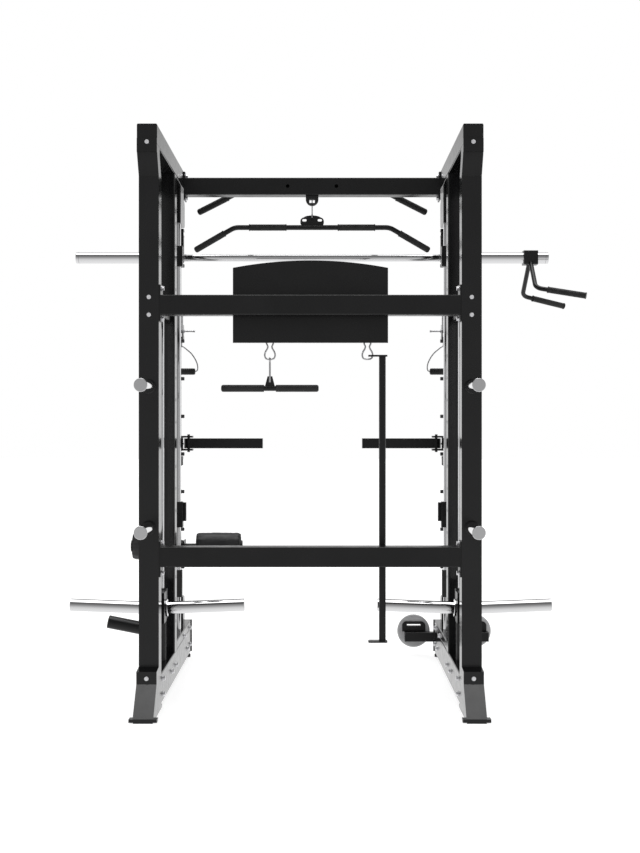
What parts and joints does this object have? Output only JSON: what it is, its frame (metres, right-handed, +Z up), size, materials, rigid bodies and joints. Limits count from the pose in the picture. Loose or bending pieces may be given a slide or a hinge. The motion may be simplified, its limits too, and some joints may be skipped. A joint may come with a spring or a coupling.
{
  "type": "smith machine",
  "caption": "Home gym rack with a guided barbell, plate-loaded cable columns, pull-up bar, sliding cable trolleys, folding arms and stored pull bars.",
  "frame": {"origin": "middle of the whole outline, on the floor", "axes": "+X across the machine to the side with the row handle, +Y from the plate storage horns to the catch rails, +Z up"},
  "size_m": [2.2299, 1.475, 2.19],
  "materials": {
    "black_paint": "satin powder coat",
    "dark_steel": "semi-gloss",
    "chrome": "polished",
    "grip_rubber": "matt textured",
    "wire_cable": "twisted wire",
    "pulley_nylon": "satin",
    "foot_pad": "glossy",
    "pad_vinyl": "soft vinyl"
  },
  "bodies": {
    "frame": {"rear_uprights": "black_paint", "rear_feet": "black_paint", "top_beams": "black_paint", "main_posts": "black_paint", "base_beams": "black_paint", "mid_beams": "black_paint", "rear_crossmembers": "black_paint", "front_crossbeam": "black_paint", "pull_up_bar": "black_paint", "pull_up_grips": "grip_rubber", "rear_panel": "black_paint", "catch_rails": "dark_steel", "catch_pegs": "dark_steel", "smith_guide_rods": "chrome", "carriage_guide_rods": "chrome", "storage_horns": "chrome", "frame_bolts": "dark_steel", "rubber_feet": "grip_rubber", "rod_bumpers": "grip_rubber", "pulley_brackets": "black_paint", "frame_cables": "wire_cable", "footrest_bar": "black_paint", "foot_pads": "foot_pad", "spotter_brackets": "black_paint", "lat_cable": "wire_cable", "carriage_cables": "wire_cable"},
    "smith_carriage": {"bearing_blocks": "black_paint"},
    "smith_bar": {"smith_bar": "chrome", "smith_hooks": "black_paint"},
    "row_handle": {"row_handle": "black_paint", "row_handle_grips": "grip_rubber"},
    "lat_bar": {"lat_bar": "black_paint", "lat_bar_grips": "grip_rubber"},
    "rear_pulleys": {"rear_pulleys": "pulley_nylon"},
    "leg_holder": {"leg_roller_bar": "black_paint"},
    "leg_rollers": {"leg_rollers": "pad_vinyl"},
    "landmine_yoke": {"landmine_yoke": "black_paint"},
    "landmine_sleeve": {"landmine_sleeve": "black_paint"},
    "short_bar": {"short_bar": "black_paint"},
    "long_bar": {"long_bar": "black_paint"},
    "corner_pulley_left": {"corner_pulley_left": "pulley_nylon"},
    "centre_pulley_left": {"centre_pulley_left": "pulley_nylon"},
    "weight_carriage_left": {"weight_carriage_left": "black_paint", "weight_horns_left": "chrome"},
    "safety_stop_left": {"safety_stop_left": "black_paint"},
    "trolley_left": {"trolley_left": "black_paint"},
    "trolley_pin_left": {"trolley_pin_left": "dark_steel"},
    "d_handle_left": {"d_handle_left": "chrome"},
    "spotter_arm_left": {"spotter_arm_left": "black_paint"},
    "carabiner_left": {"carabiner_left": "chrome"},
    "corner_pulley_right": {"corner_pulley_right": "pulley_nylon"},
    "centre_pulley_right": {"centre_pulley_right": "pulley_nylon"},
    "weight_carriage_right": {"weight_carriage_right": "black_paint", "weight_horns_right": "chrome"},
    "safety_stop_right": {"safety_stop_right": "black_paint"},
    "trolley_right": {"trolley_right": "black_paint"},
    "trolley_pin_right": {"trolley_pin_right": "dark_steel"},
    "d_handle_right": {"d_handle_right": "chrome"},
    "spotter_arm_right": {"spotter_arm_right": "black_paint"},
    "carabiner_right": {"carabiner_right": "chrome"}
  },
  "joints": [
    {"name": "smith_lift", "type": "slide", "parent": "frame", "child": "smith_carriage", "axis": [0, 0, 1], "range_m": [-1.02, 0]},
    {"name": "bar_turn", "type": "hinge", "parent": "smith_carriage", "child": "smith_bar", "pos_m": [-0.062, 0.4355, 1.818], "axis": [-1, 0, 0], "range_deg": [0, 40]},
    {"name": "row_handle_turn", "type": "hinge", "parent": "smith_bar", "child": "row_handle", "pos_m": [0.91, 0.4355, 1.818], "axis": [1, 0, 0], "continuous": true},
    {"name": "lat_bar_pull", "type": "slide", "parent": "frame", "child": "lat_bar", "axis": [0, 0, 1], "range_m": [-1, 0], "deforming": ["lat_cable"]},
    {"name": "carriage_lift_left", "type": "slide", "parent": "frame", "child": "weight_carriage_left", "axis": [0, 0, 1], "range_m": [0, 1], "deforming": ["carriage_cables"]},
    {"name": "corner_pulley_turn_left", "type": "hinge", "parent": "frame", "child": "corner_pulley_left", "pos_m": [-0.667, 0.3481, 2.138], "axis": [0, 0, 1], "range_deg": [-2315, 0]},
    {"name": "centre_pulley_turn_left", "type": "hinge", "parent": "frame", "child": "centre_pulley_left", "pos_m": [-0.084, 0.3731, 2.116], "axis": [0, 1, 0], "range_deg": [0, 2631]},
    {"name": "carriage_lift_right", "type": "slide", "parent": "frame", "child": "weight_carriage_right", "axis": [0, 0, 1], "range_m": [0, 1]},
    {"name": "corner_pulley_turn_right", "type": "hinge", "parent": "frame", "child": "corner_pulley_right", "pos_m": [0.543, 0.3589, 2.138], "axis": [0, 0, 1], "range_deg": [0, 2315]},
    {"name": "centre_pulley_turn_right", "type": "hinge", "parent": "frame", "child": "centre_pulley_right", "pos_m": [-0.04, 0.3839, 2.116], "axis": [0, 1, 0], "range_deg": [-2631, 0]},
    {"name": "rear_pulley_turn", "type": "hinge", "parent": "frame", "child": "rear_pulleys", "pos_m": [-0.062, -0.2165, 2.098], "axis": [1, 0, 0], "range_deg": [-1447, 0]},
    {"name": "safety_stop_slide_left", "type": "slide", "parent": "frame", "child": "safety_stop_left", "axis": [0, 0, 1], "range_m": [-0.18, 0.9]},
    {"name": "trolley_slide_left", "type": "slide", "parent": "frame", "child": "trolley_left", "axis": [0, 0, 1], "range_m": [-0.17, 0.255]},
    {"name": "trolley_pin_push_left", "type": "slide", "parent": "trolley_left", "child": "trolley_pin_left", "axis": [-1, 0, 0], "range_m": [0, 0.012]},
    {"name": "d_handle_swing_left", "type": "hinge", "parent": "trolley_left", "child": "d_handle_left", "pos_m": [-0.6645, 0.6035, 1.47], "axis": [1, 0, 0], "range_deg": [-5, 75]},
    {"name": "spotter_arm_fold_left", "type": "hinge", "parent": "frame", "child": "spotter_arm_left", "pos_m": [-0.628, 0.5735, 0.988], "axis": [0, 0, 1], "range_deg": [0, 90]},
    {"name": "safety_stop_slide_right", "type": "slide", "parent": "frame", "child": "safety_stop_right", "axis": [0, 0, 1], "range_m": [-0.18, 0.9]},
    {"name": "trolley_slide_right", "type": "slide", "parent": "frame", "child": "trolley_right", "axis": [0, 0, 1], "range_m": [-0.17, 0.255]},
    {"name": "trolley_pin_push_right", "type": "slide", "parent": "trolley_right", "child": "trolley_pin_right", "axis": [1, 0, 0], "range_m": [0, 0.012]},
    {"name": "d_handle_swing_right", "type": "hinge", "parent": "trolley_right", "child": "d_handle_right", "pos_m": [0.5405, 0.6035, 1.47], "axis": [1, 0, 0], "range_deg": [-5, 75]},
    {"name": "spotter_arm_fold_right", "type": "hinge", "parent": "frame", "child": "spotter_arm_right", "pos_m": [0.504, 0.5735, 0.988], "axis": [0, 0, -1], "range_deg": [0, 90]},
    {"name": "leg_holder_slide", "type": "slide", "parent": "frame", "child": "leg_holder", "axis": [0, 0, 1], "range_m": [-0.17, 0.17]},
    {"name": "leg_roller_turn", "type": "hinge", "parent": "leg_holder", "child": "leg_rollers", "pos_m": [-0.64, 0.6175, 0.514], "axis": [1, 0, 0], "continuous": true},
    {"name": "landmine_yaw", "type": "hinge", "parent": "frame", "child": "landmine_yoke", "pos_m": [-0.738, 0.5105, 0.144], "axis": [0, 0, 1], "range_deg": [-45, 45]},
    {"name": "landmine_pitch", "type": "hinge", "parent": "landmine_yoke", "child": "landmine_sleeve", "pos_m": [-0.79, 0.5105, 0.144], "axis": [0, 1, 0], "range_deg": [-20, 60]},
    {"name": "carabiner_swing_left", "type": "hinge", "parent": "frame", "child": "carabiner_left", "pos_m": [-0.217, -0.4045, 1.404], "axis": [1, 0, 0], "range_deg": [-30, 30]},
    {"name": "short_bar_swing", "type": "hinge", "parent": "carabiner_left", "child": "short_bar", "pos_m": [-0.217, -0.4045, 1.3245], "axis": [1, 0, 0], "range_deg": [-20, 20]},
    {"name": "carabiner_swing_right", "type": "hinge", "parent": "frame", "child": "carabiner_right", "pos_m": [0.155, -0.4045, 1.404], "axis": [1, 0, 0], "range_deg": [-0.6, 2.8]},
    {"name": "long_bar_swing", "type": "hinge", "parent": "carabiner_right", "child": "long_bar", "pos_m": [0.174, -0.4045, 1.34], "axis": [1, 0, 0], "range_deg": [-0.6, 2.4]}
  ],
  "couplings": [
    {"joint": "carriage_lift_left", "follows": "lat_bar_pull", "ratio": -1},
    {"joint": "corner_pulley_turn_left", "follows": "lat_bar_pull", "rad_per_m": 40},
    {"joint": "centre_pulley_turn_left", "follows": "lat_bar_pull", "rad_per_m": -45.455},
    {"joint": "carriage_lift_right", "follows": "lat_bar_pull", "ratio": -1},
    {"joint": "corner_pulley_turn_right", "follows": "lat_bar_pull", "rad_per_m": -40},
    {"joint": "centre_pulley_turn_right", "follows": "lat_bar_pull", "rad_per_m": 45.455},
    {"joint": "rear_pulley_turn", "follows": "lat_bar_pull", "rad_per_m": 25}
  ]
}
